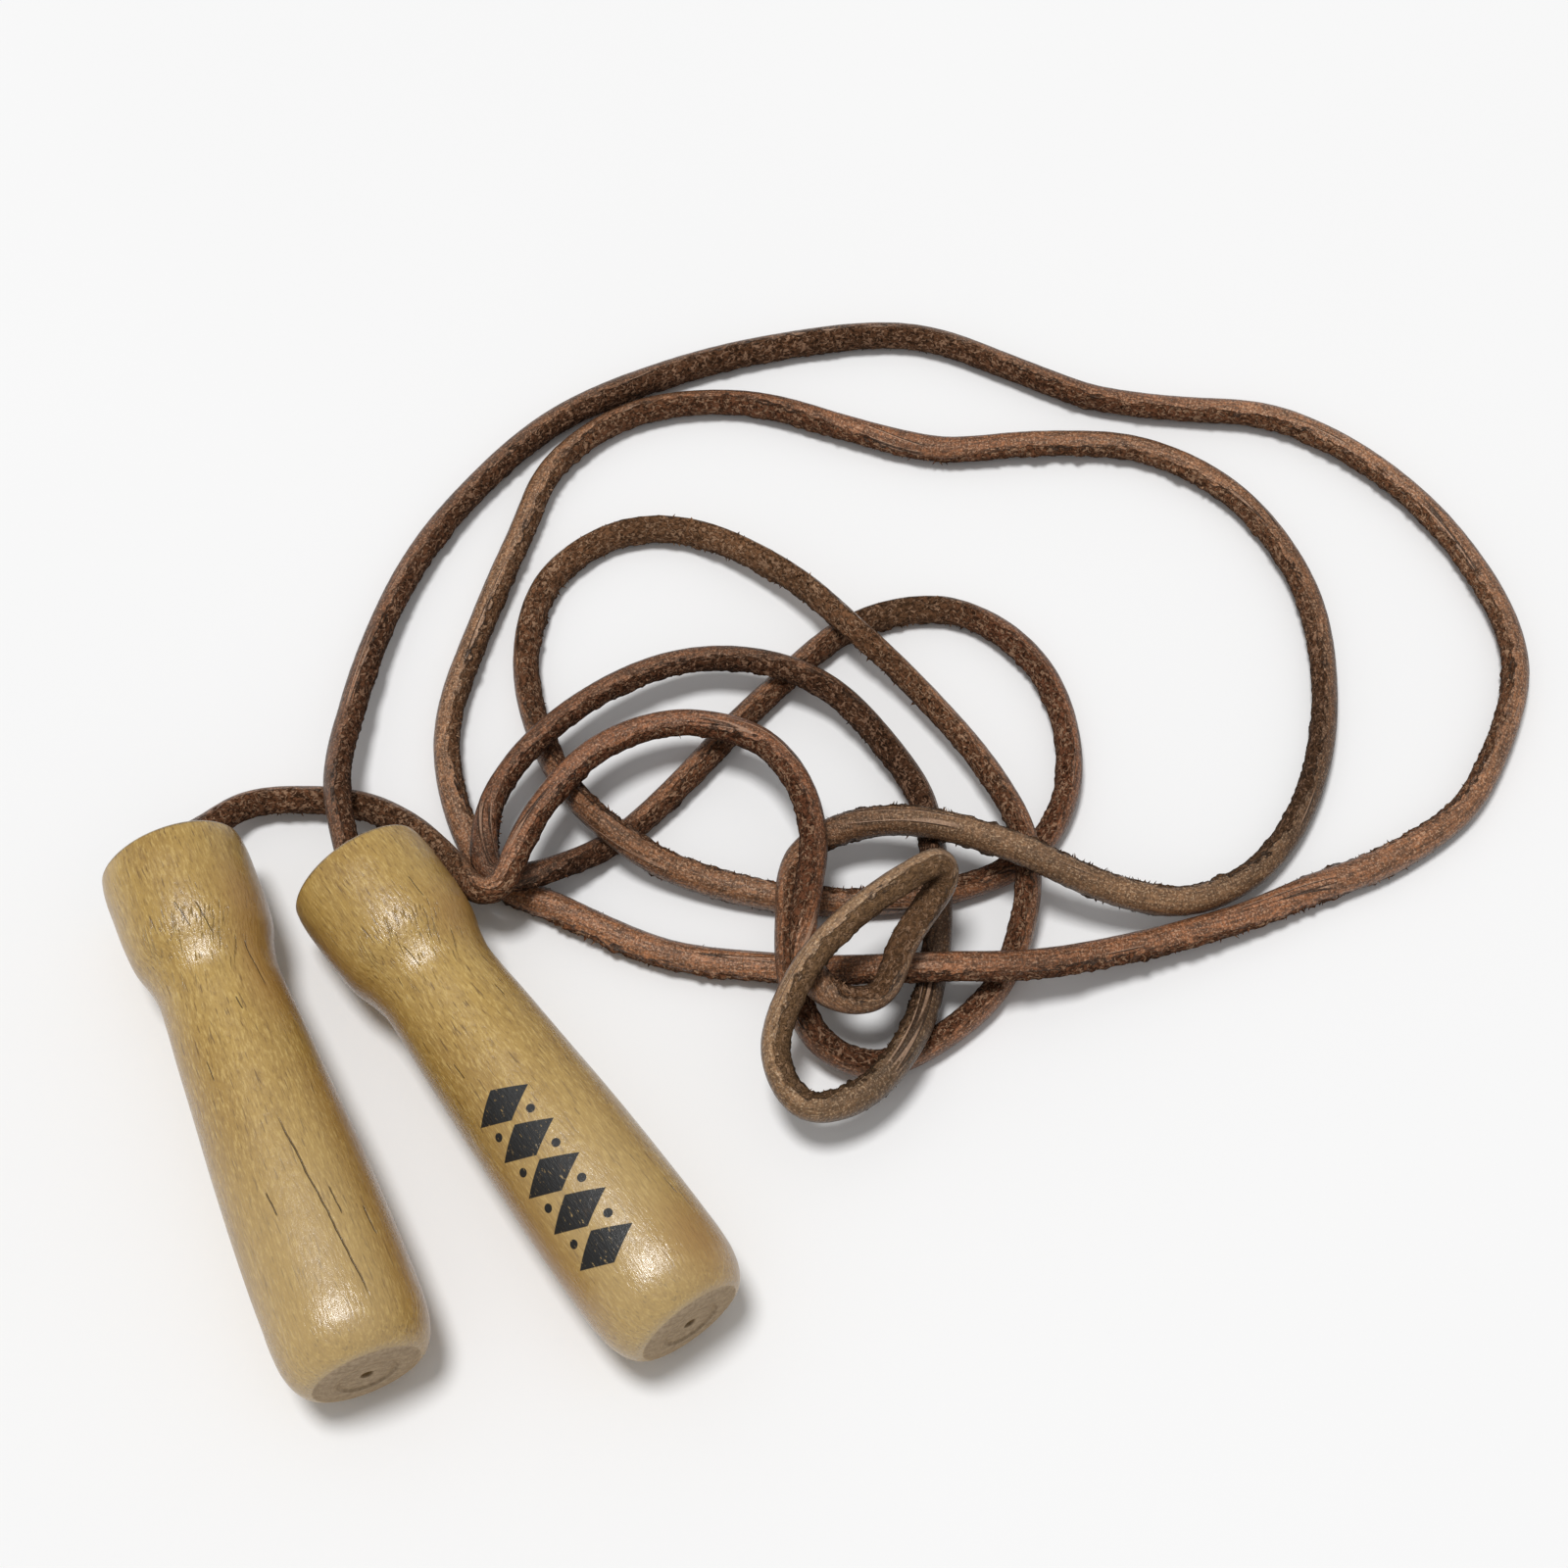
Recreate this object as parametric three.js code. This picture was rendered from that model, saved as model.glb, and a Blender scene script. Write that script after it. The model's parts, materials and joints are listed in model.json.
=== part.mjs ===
// Jump rope: a round leather cord with a turned wooden handle at each end.
// Each handle spins on a ball bearing that sits in a counterbore in its head; the cord passes
// through the inner ring of the bearing and a crimped ferrule behind a washer keeps it there.
// Units are millimetres, +Z is up and the floor is z = 0. The rope lies loosely coiled.

import * as THREE from 'three';

// ---------------------------------------------------------------- dimensions

const CORD_RADIUS = 3.5;
const CORD_SIDES = 10;
const RING_SPACING = 11;      // longest step between two rings of the cord
const CORD_BORE = 3.8;        // bore of every metal piece the cord passes through

const HANDLE_LENGTH = 140;
const HANDLE_SIDES = 28;
const HEAD_RADIUS = 17.9;     // largest radius of the flared head, HEAD_BULGE from its face
const HEAD_BULGE = 12;
const BUTT_RADIUS = 18.1;     // largest radius near the butt, BUTT_BULGE from the head's face
const BUTT_BULGE = 120;

const MOUTH_RADIUS = 13.2;    // shallow recess in the head's face, for the dust cover
const MOUTH_DEPTH = 1.7;
const SEAT_RADIUS = 12.2;     // counterbore the bearing cup is pressed into
const SEAT_DEPTH = 11;
const CHAMBER_RADIUS = 6.5;   // blind bore behind it, where the cord's end turns freely
const CHAMBER_DEPTH = 32;
const PILOT_RADIUS = 1.5;     // hole left in the butt by the lathe's centre
const PILOT_DEPTH = 12;

const BALL_COUNT = 8;
const BALL_RADIUS = 1.6;
const BALL_ORBIT = 8.4;       // radius of the circle the balls' centres lie on
const RACE_Z = 6.5;           // depth of that circle behind the head's face

const CORD_END_DEPTH = 24;    // how far the cord reaches into the handle

// The two handles: the middle of each head's face on the floor plan, and the way it points
// from head to butt, in degrees from -Y towards +X.
const LEFT_HANDLE = { x: -149.3, y: -28.5, heading: 23.2 };
const RIGHT_HANDLE = { x: -104, y: -32.5, heading: 35.6 };

// Middle of the laid-out rope on the same floor plan.
const OUTLINE_MIDDLE = new THREE.Vector3(14, -10, 0);

// ---------------------------------------------------------------- the cord's path

// The coil, one list for each bend of the cord from the right handle's end to the left one's.
// Each entry is a point of the centre line, [x, y, height].

const OUTER_LOOP = [
  [-109.5, 17, 8.5], [-108.3, 25, 7.5], [-105.5, 38, 6.2], [-99, 58.5, 4.7], [-88, 79.5, 3.8],
  [-62, 109, 3.6], [-31.5, 125, 3.6], [2, 134.5, 3.6], [37, 137, 3.6], [67.5, 124, 3.6],
  [84.5, 116, 3.6], [106, 112, 3.6], [134.5, 108, 3.6], [162, 89, 3.6], [182, 59, 3.6],
  [188.5, 30, 3.6], [175, -4.5, 3.6], [165.5, -15.5, 3.6], [147, -27, 4], [129, -34, 4.3],
  [112, -41.5, 5], [82, -51, 8], [60, -56.5, 12], [38, -57.5, 13.4], [24, -56.5, 10.5],
  [8, -54, 5], [-10, -52, 3.6], [-30, -48.5, 3.6], [-55, -36.5, 3.6],
];
const SECOND_LOOP = [
  [-71, -28, 3.6], [-79.5, -15, 3.6], [-85, 5, 3.6], [-85, 20, 3.6], [-76, 52.5, 3.6],
  [-68.5, 74.5, 3.6], [-60.5, 95.5, 3.6], [-40, 112, 3.6], [-10, 115.5, 3.6], [23, 105, 3.6],
  [43, 99.5, 3.6], [70, 101, 3.6], [97, 98.5, 3.6], [120.5, 83.5, 3.6], [136.5, 54, 3.6],
  [138, 17, 3.6], [128.5, -13, 3.8], [114, -30.5, 5], [96, -38.5, 8.5],
];
const INNER_TAIL = [
  [75.5, -36.5, 15], [58.5, -29.5, 19], [42.5, -22.5, 17.5], [28, -18.5, 15], [12, -19.5, 11],
  [3, -27.5, 11], [1.3, -42.5, 11.5], [1.5, -59, 11.2], [7.5, -73.5, 8], [21, -79, 5],
  [48, -62.5, 4], [57, -45.5, 5.5], [59.5, -25.5, 11.3], [51.5, -2.5, 9], [30.5, 27, 8.5],
  [17.5, 40, 11],
];
const THIRD_LOOP = [
  [1, 58, 8], [-24, 73.5, 4.5], [-43, 73.5, 3.6], [-61, 59, 3.6], [-66, 32, 3.6], [-57, 2, 5],
  [-43.5, -17.5, 11.4], [-28.5, -26.5, 7], [4, -34.5, 3.6], [38, -33, 3.6],
];
const FOURTH_LOOP = [
  [60.5, -23, 3.6], [71, -5, 3.6], [70.5, 19.5, 3.6], [62, 36.5, 3.6], [44.5, 48.5, 3.6],
  [20, 45, 3.6], [-6.5, 21, 3.6], [-28.5, -4.5, 3.6], [-42.5, -18, 3.6], [-57, -27.5, 8.4],
  [-66, -31, 11.2],
];
const INNER_ARCH = [
  [-72, -30, 11], [-74, -24, 11], [-72.5, -10, 11], [-63.5, 4.5, 12.5], [-48.5, 19, 11.5],
  [-33, 28, 10.4], [-19, 31.5, 9.5], [-2, 28.5, 11], [13.5, 21, 9], [33.5, -6, 6.5],
  [36, -19, 8], [37, -33, 11.3],
  [37, -45, 8.5], [35, -57.5, 5.3], [29.4, -75.5, 12.3], [18, -89.5, 13],
];
const STANDING_LOOP = [
  [4, -93.5, 15], [-2.8, -81, 18], [1.5, -68, 23.5], [9, -57.5, 27.3], [21, -47.3, 30],
  [31.6, -40.6, 31.3], [37.3, -37.2, 30], [39.2, -38.2, 27], [36, -42.7, 23.5],
  [27.7, -55, 21.8], [22.3, -67.3, 20], [13.7, -68.2, 19], [6, -62, 18.4],
];
const TOP_ARCH = [
  [4.2, -47, 18.8], [6.8, -30, 18.5], [5, -13.5, 18], [-5.5, 4, 15], [-27, 10.5, 13.5],
  [-46.5, 2.5, 14.5], [-60.5, -15.5, 16], [-65.5, -29, 18.5], [-69, -37, 17.5],
];
const LAST_REACH = [
  [-74.5, -37, 15.5], [-81, -28.5, 12], [-91.5, -16.5, 8.3], [-103, -9, 6.2], [-114, -6, 5.2],
  [-122, -5.5, 5], [-128, -5.5, 5],
];

// The free end of the cord at each handle, from the coil to the middle of the head's face.
const RIGHT_END = [
  [-109.5, 17, 8.5], [-110.8, 9, 9.8], [-111.1, -3, 13], [-109.5, -14, 16], [-106.4, -26, 17.5],
];
const LEFT_END = [
  [-128, -5.5, 5], [-130.5, -5.5, 5], [-135.2, -7.2, 5.4], [-139.4, -10.8, 7],
  [-142.6, -15.2, 9.8], [-146, -19.6, 13.2], [-149, -23.6, 16.4],
];

const COIL = [
  ...OUTER_LOOP, ...SECOND_LOOP, ...INNER_TAIL, ...THIRD_LOOP, ...FOURTH_LOOP,
  ...INNER_ARCH, ...STANDING_LOOP, ...TOP_ARCH, ...LAST_REACH,
];

// ---------------------------------------------------------------- materials

function material(color, roughness, metalness) {
  return new THREE.MeshStandardMaterial({ color, roughness, metalness });
}

function wood() {
  return material(0xc9a66b, 0.38, 0);
}

function leather() {
  return material(0x6e432c, 0.62, 0);
}

function steel() {
  return material(0xa9abad, 0.28, 1);
}

// ---------------------------------------------------------------- geometry helpers

// A closed body of revolution about Z. The outline is a list of [radius, z] that starts and
// ends on the axis, or a closed ring when the first point is repeated at the end.
function turned(outline, sides) {
  const points = outline.map(([radius, z]) => new THREE.Vector2(radius, z));
  return new THREE.LatheGeometry(points, sides).rotateX(Math.PI / 2);
}

function ringOutline(points) {
  return [...points, points[0]];
}

// Frames along a curve: a point, and two directions square to the curve that turn with it
// and never twist about it.
function framesAlong(curve, spans) {
  const frames = [];
  const across = new THREE.Vector3();
  const turn = new THREE.Quaternion();
  let heading = curve.getTangent(0);
  across.crossVectors(heading, new THREE.Vector3(0, 0, 1)).normalize();
  for (let span = 0; span < spans; span += 1) {
    const from = curve.getPoint(span / spans);
    const to = curve.getPoint((span + 1) / spans);
    const steps = Math.max(2, Math.ceil(from.distanceTo(to) / RING_SPACING));
    const last = span === spans - 1 ? steps : steps - 1;
    for (let step = 0; step <= last; step += 1) {
      const t = (span + step / steps) / spans;
      const next = curve.getTangent(t);
      turn.setFromUnitVectors(heading, next);
      across.applyQuaternion(turn);
      heading = next;
      frames.push({
        point: curve.getPoint(t),
        heading: heading.clone(),
        across: across.clone(),
        up: new THREE.Vector3().crossVectors(across, heading),
      });
    }
  }
  return frames;
}

// A stretch of round cord along the given points. Each end is a list of [distance, radius]
// rings measured outwards from the end of the curve, closed by a middle point at tipDistance.
function cordGeometry(points, startEnd, finishEnd) {
  const vectors = points.map(([x, y, z]) => new THREE.Vector3(x, y, z));
  const curve = new THREE.CatmullRomCurve3(vectors, false, 'centripetal');
  const frames = framesAlong(curve, vectors.length - 1);
  const first = frames[0];
  const final = frames[frames.length - 1];

  const rings = [];
  for (const [distance, radius] of [...startEnd.rings].reverse()) {
    rings.push({ frame: first, shift: -distance, radius });
  }
  for (const frame of frames) {
    rings.push({ frame, shift: 0, radius: CORD_RADIUS });
  }
  for (const [distance, radius] of finishEnd.rings) {
    rings.push({ frame: final, shift: distance, radius });
  }

  const positions = [];
  const addPoint = (point) => positions.push(point.x, point.y, point.z);
  for (const { frame, shift, radius } of rings) {
    for (let side = 0; side < CORD_SIDES; side += 1) {
      const angle = (2 * Math.PI * (side + 0.5)) / CORD_SIDES;
      addPoint(frame.point.clone()
        .addScaledVector(frame.heading, shift)
        .addScaledVector(frame.across, radius * Math.cos(angle))
        .addScaledVector(frame.up, radius * Math.sin(angle)));
    }
  }
  const startTip = positions.length / 3;
  addPoint(first.point.clone().addScaledVector(first.heading, -startEnd.tipDistance));
  addPoint(final.point.clone().addScaledVector(final.heading, finishEnd.tipDistance));

  const faces = [];
  for (let ring = 0; ring < rings.length - 1; ring += 1) {
    for (let side = 0; side < CORD_SIDES; side += 1) {
      const a = ring * CORD_SIDES + side;
      const b = ring * CORD_SIDES + ((side + 1) % CORD_SIDES);
      faces.push(a, a + CORD_SIDES, b, b, a + CORD_SIDES, b + CORD_SIDES);
    }
  }
  const lastRing = (rings.length - 1) * CORD_SIDES;
  for (let side = 0; side < CORD_SIDES; side += 1) {
    const next = (side + 1) % CORD_SIDES;
    faces.push(startTip, side, next);
    faces.push(startTip + 1, lastRing + next, lastRing + side);
  }

  const geometry = new THREE.BufferGeometry();
  geometry.setAttribute('position', new THREE.Float32BufferAttribute(positions, 3));
  geometry.setIndex(faces);
  geometry.computeVertexNormals();
  return geometry;
}

// Ends of a stretch of cord. The cup and the dome meet where an end of the cord bends.
const FLAT_END = { rings: [], tipDistance: 0 };
const DOME_END = {
  rings: [[1.8, 3.0], [3.0, 1.8]],
  tipDistance: 3.5,
};
const CUP_END = {
  rings: [[-0.6, 3.1], [-1.6, 1.9]],
  tipDistance: -2.1,
};
const CUP_SETBACK = 1.85;     // from the middle of the bend to the rim of the cup
const TURN_GAP = 0.4;         // between the two flat ends that turn on each other

// The points with the first one moved along the path by the given distance.
function trimmedStart(points, distance) {
  const first = new THREE.Vector3(...points[0]);
  const second = new THREE.Vector3(...points[1]);
  const moved = first.clone().lerp(second, distance / first.distanceTo(second));
  return [moved.toArray(), ...points.slice(1)];
}

// ---------------------------------------------------------------- handle and bearing

// Outline of the wood from the bottom of the blind bore, out through the head's face, along
// the grip to the butt and into the pilot hole.
const HANDLE_OUTLINE = [
  [0, CHAMBER_DEPTH],
  [CHAMBER_RADIUS, CHAMBER_DEPTH - 3],
  [CHAMBER_RADIUS, SEAT_DEPTH],
  [SEAT_RADIUS, SEAT_DEPTH],
  [SEAT_RADIUS, MOUTH_DEPTH],
  [MOUTH_RADIUS, MOUTH_DEPTH],
  [MOUTH_RADIUS, 0],
  [16.6, 0],
  [17.3, 0.6],
  [17.7, 3],
  [HEAD_RADIUS, HEAD_BULGE],
  [17.8, 19],
  [17.1, 26],
  [15.5, 31.5],
  [14.7, 36],
  [14.8, 42],
  [15.4, 51],
  [16.2, 66],
  [17.3, 86],
  [17.9, 104],
  [BUTT_RADIUS, BUTT_BULGE],
  [18.0, 128],
  [17.4, 133],
  [15.9, 137],
  [14.1, 139.2],
  [12.2, HANDLE_LENGTH],
  [PILOT_RADIUS, HANDLE_LENGTH],
  [PILOT_RADIUS, HANDLE_LENGTH - PILOT_DEPTH],
  [0, HANDLE_LENGTH - PILOT_DEPTH - 1],
];

const CUP_OUTLINE = ringOutline([
  [12.0, 2.4], [12.0, 10.6], [9.5, 10.6], [9.5, 8.1],
  [10.3, 7.3], [10.3, 5.7], [9.5, 4.9], [9.5, 2.4],
]);

const CONE_OUTLINE = ringOutline([
  [CORD_BORE, 2.4], [7.2, 2.4], [7.2, 4.9], [6.4, 5.7], [6.4, 7.3],
  [7.2, 8.1], [7.2, 10.6], [5.6, 10.6], [5.6, 12.2], [CORD_BORE, 12.2],
]);

const COVER_OUTLINE = ringOutline([
  [5.0, 0.2], [12.9, 0.2], [12.9, 1.4], [5.0, 1.4],
]);

const WASHER_OUTLINE = ringOutline([
  [CORD_BORE, 12.6], [5.9, 12.6], [5.9, 13.6], [CORD_BORE, 13.6],
]);

const FERRULE_OUTLINE = ringOutline([
  [CORD_BORE, 14], [5.1, 14], [5.1, 17], [4.6, 18], [4.6, 19],
  [5.1, 20], [5.1, 22.5], [CORD_BORE, 22.5],
]);

function piece(name, geometry, look) {
  const mesh = new THREE.Mesh(geometry, look);
  mesh.name = name;
  return mesh;
}

// One handle with its bearing, in the handle's own frame: Z runs from the head's face, at
// z = 0, to the butt.
function handleAssembly(side) {
  const assembly = new THREE.Group();
  assembly.add(
    piece(`${side}_handle`, turned(HANDLE_OUTLINE, HANDLE_SIDES), wood()),
    piece(`${side}_bearing_cup`, turned(CUP_OUTLINE, HANDLE_SIDES), steel()),
    piece(`${side}_bearing_cone`, turned(CONE_OUTLINE, 20), steel()),
    piece(`${side}_dust_cover`, turned(COVER_OUTLINE, HANDLE_SIDES), steel()),
    piece(`${side}_stop_washer`, turned(WASHER_OUTLINE, 16), steel()),
    piece(`${side}_cord_ferrule`, turned(FERRULE_OUTLINE, 16), steel()),
  );
  for (let index = 0; index < BALL_COUNT; index += 1) {
    const angle = (2 * Math.PI * index) / BALL_COUNT;
    const sphere = new THREE.SphereGeometry(BALL_RADIUS, 8, 6);
    const ball = piece(`${side}_ball_${index + 1}`, sphere, steel());
    ball.position.set(BALL_ORBIT * Math.cos(angle), BALL_ORBIT * Math.sin(angle), RACE_Z);
    assembly.add(ball);
  }
  return assembly;
}

// A turned handle lies on a flat of its faceted skin, at the head's and the butt's widest
// rings, so its axis tips up very slightly towards the butt.
const FLAT = Math.cos(Math.PI / HANDLE_SIDES);
const AXIS_TIP = Math.asin((FLAT * (BUTT_RADIUS - HEAD_RADIUS)) / (BUTT_BULGE - HEAD_BULGE));
const HEAD_HEIGHT = FLAT * HEAD_RADIUS * Math.cos(AXIS_TIP) - HEAD_BULGE * Math.sin(AXIS_TIP);

// Axis of a handle from head to butt, and a point on it the given distance from the face.
function handleAxis({ heading }) {
  const yaw = THREE.MathUtils.degToRad(heading);
  return new THREE.Vector3(
    Math.sin(yaw) * Math.cos(AXIS_TIP),
    -Math.cos(yaw) * Math.cos(AXIS_TIP),
    Math.sin(AXIS_TIP),
  );
}

function pointOnAxis(handle, distance) {
  const face = new THREE.Vector3(handle.x, handle.y, HEAD_HEIGHT);
  return face.addScaledVector(handleAxis(handle), distance).toArray();
}

function placeHandle(assembly, handle) {
  const axis = handleAxis(handle);
  const across = new THREE.Vector3().crossVectors(new THREE.Vector3(0, 0, 1), axis).normalize();
  const up = new THREE.Vector3().crossVectors(axis, across);
  const basis = new THREE.Matrix4().makeBasis(across, up, axis);
  const halfFlat = new THREE.Matrix4().makeRotationZ(Math.PI / HANDLE_SIDES);
  assembly.quaternion.setFromRotationMatrix(basis.multiply(halfFlat));
  assembly.position.fromArray(pointOnAxis(handle, 0));
  return assembly;
}

// ---------------------------------------------------------------- assembly

// The cord inside a handle, from the head's face to its crimped end.
function insideHandle(handle) {
  return [0, CORD_END_DEPTH / 2, CORD_END_DEPTH].map((depth) => pointOnAxis(handle, depth));
}

const rope = new THREE.Group();

// The main coil. At the right it bends about the rounded tip of the right end; at the left
// it faces the left end squarely, so that end turns about the cord's own axis there.
const coilPath = trimmedStart(COIL, CUP_SETBACK);
rope.add(piece('cord', cordGeometry(coilPath, CUP_END, FLAT_END), leather()));

const rightPath = [...RIGHT_END, ...insideHandle(RIGHT_HANDLE)];
rope.add(piece('cord_end_right', cordGeometry(rightPath, DOME_END, FLAT_END), leather()));

const leftPath = trimmedStart([...LEFT_END, ...insideHandle(LEFT_HANDLE)], TURN_GAP);
rope.add(piece('cord_end_left', cordGeometry(leftPath, FLAT_END, FLAT_END), leather()));

rope.add(placeHandle(handleAssembly('left'), LEFT_HANDLE));
rope.add(placeHandle(handleAssembly('right'), RIGHT_HANDLE));

// The part's origin is the middle of its outline on the floor.
rope.position.copy(OUTLINE_MIDDLE).negate();

export default rope;
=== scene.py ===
"""A leather jump rope with two turned wooden handles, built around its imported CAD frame.

The cord follows the centre line of the CAD cord and the turned pieces follow the outlines of
their CAD nodes. Lengths are metres and angles are degrees unless a name says otherwise.
"""

import json
import math
import random

import bmesh
import bpy
import numpy as np
from mathutils import Matrix, Vector, noise


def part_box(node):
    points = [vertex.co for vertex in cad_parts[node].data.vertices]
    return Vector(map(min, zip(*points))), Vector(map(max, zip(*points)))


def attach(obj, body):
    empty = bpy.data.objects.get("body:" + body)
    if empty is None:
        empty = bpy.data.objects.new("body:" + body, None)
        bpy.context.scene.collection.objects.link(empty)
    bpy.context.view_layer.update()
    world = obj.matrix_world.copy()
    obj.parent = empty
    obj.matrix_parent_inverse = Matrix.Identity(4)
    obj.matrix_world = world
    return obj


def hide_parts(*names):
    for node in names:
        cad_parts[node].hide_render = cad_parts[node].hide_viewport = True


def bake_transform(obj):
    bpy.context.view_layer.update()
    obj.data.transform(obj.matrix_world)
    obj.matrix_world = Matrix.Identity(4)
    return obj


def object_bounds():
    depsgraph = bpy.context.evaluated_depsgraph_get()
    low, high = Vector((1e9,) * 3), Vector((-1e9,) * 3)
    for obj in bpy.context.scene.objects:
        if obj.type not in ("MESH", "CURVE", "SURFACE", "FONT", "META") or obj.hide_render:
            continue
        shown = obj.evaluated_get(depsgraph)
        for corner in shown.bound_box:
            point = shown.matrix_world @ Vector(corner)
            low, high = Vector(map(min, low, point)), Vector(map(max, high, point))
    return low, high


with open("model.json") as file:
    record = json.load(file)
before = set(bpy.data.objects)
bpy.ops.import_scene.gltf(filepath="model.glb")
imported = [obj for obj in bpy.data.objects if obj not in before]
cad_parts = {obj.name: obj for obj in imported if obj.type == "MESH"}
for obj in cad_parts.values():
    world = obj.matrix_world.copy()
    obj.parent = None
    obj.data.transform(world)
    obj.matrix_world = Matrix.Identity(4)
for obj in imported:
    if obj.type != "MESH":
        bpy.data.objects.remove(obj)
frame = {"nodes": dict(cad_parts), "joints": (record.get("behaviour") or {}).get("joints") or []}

CAD_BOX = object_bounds()
MM = 0.001
SIDES_OF_ROPE = ("left", "right")

# Camera: the point on the floor it looks at, and where it stands from there.
CAMERA_TARGET = Vector((-0.014, 0.010, 0.0))
CAMERA_DISTANCE = 0.7247
CAMERA_ELEVATION = 61.77
CAMERA_ROLL = -0.71
CAMERA_LENS_MM = 65.66
SENSOR_MM = 36.0
TO_CAMERA = Vector((0, -math.cos(math.radians(CAMERA_ELEVATION)),
                    math.sin(math.radians(CAMERA_ELEVATION))))

# Studio: a broad soft light nearly overhead in an evenly lit white room.
KEY_WAY = Vector((-0.22, 0.12, 1.46))
KEY_SPREAD = 16
KEY_STRENGTH = 2.05
SKY_STRENGTH = 0.40
BACKDROP = 0.93               # brightness of the room where the camera sees it
FLOOR_HALF = 6.0
FLOOR_GAP = 0.1 * MM          # between the floor and the CAD frame

# Cord: rings of points along it, and how leather cut from a hide differs from a plain tube.
CORD_RADIUS = 3.5 * MM
GRAIN_SIDES = 8
FLESH_SIDES = 16
CORD_SIDES = GRAIN_SIDES + FLESH_SIDES
RING_STEP = 0.72 * MM
PATH_EASE = 2.5 * MM          # how far the path's small corners are eased
PATH_SAMPLES = 24             # points on the fine curve between two middles of CAD rings
DOUBLED_GAP = 2.5 * MM        # closer than this, two middles of CAD rings are one
FULL_RING = 0.98              # least share of the radius that a full CAD ring has
EDGE_ANGLE = 80               # from the middle of the grain side to the edge of the flesh side
EDGE_BREADTH = 24             # how far, in degrees, the full edges of the section reach
EDGE_FULLNESS = 0.28 * MM
FLESH_FLATNESS = 0.35 * MM
TURN_EASE = 14 * MM           # how far a change in the cord's lie is eased to each side
FLARE = 26 * MM               # from a bend at a handle to the border of its own stretch
CAP_DEPTH = 0.2 * MM          # how hollow the closing faces of a stretch are
FLOOR_LEVEL = CAD_BOX[0].z    # nothing of the cord goes lower

# Loose tufts of fibre along the edges of the flesh side. Heights and widths are in mm.
TUFT_SHARE = 0.50             # tufts for each ring and edge, where the edge is usual
TUFT_SPREAD = 45              # how far, in degrees, tufts stand into the flesh side
TUFT_HEIGHTS = (0.35, 1.20)
TUFT_WIDTHS = (0.26, 0.58)
TUFT_ROOT = 0.2 * MM          # how far below the surface a tuft starts
TUFT_CORNERS = (0, 2.1, 4.2)  # of its foot, in radians
TUFT_MARGIN = 2               # rings without tufts at the border of a stretch
TUFT_CLEAR = 34 * MM          # no tufts so near to the cord's ends, inside the heads
TUFT_SEEDS = {"cord_coil": 11, "cord_right": 12, "cord_left": 13}

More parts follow.
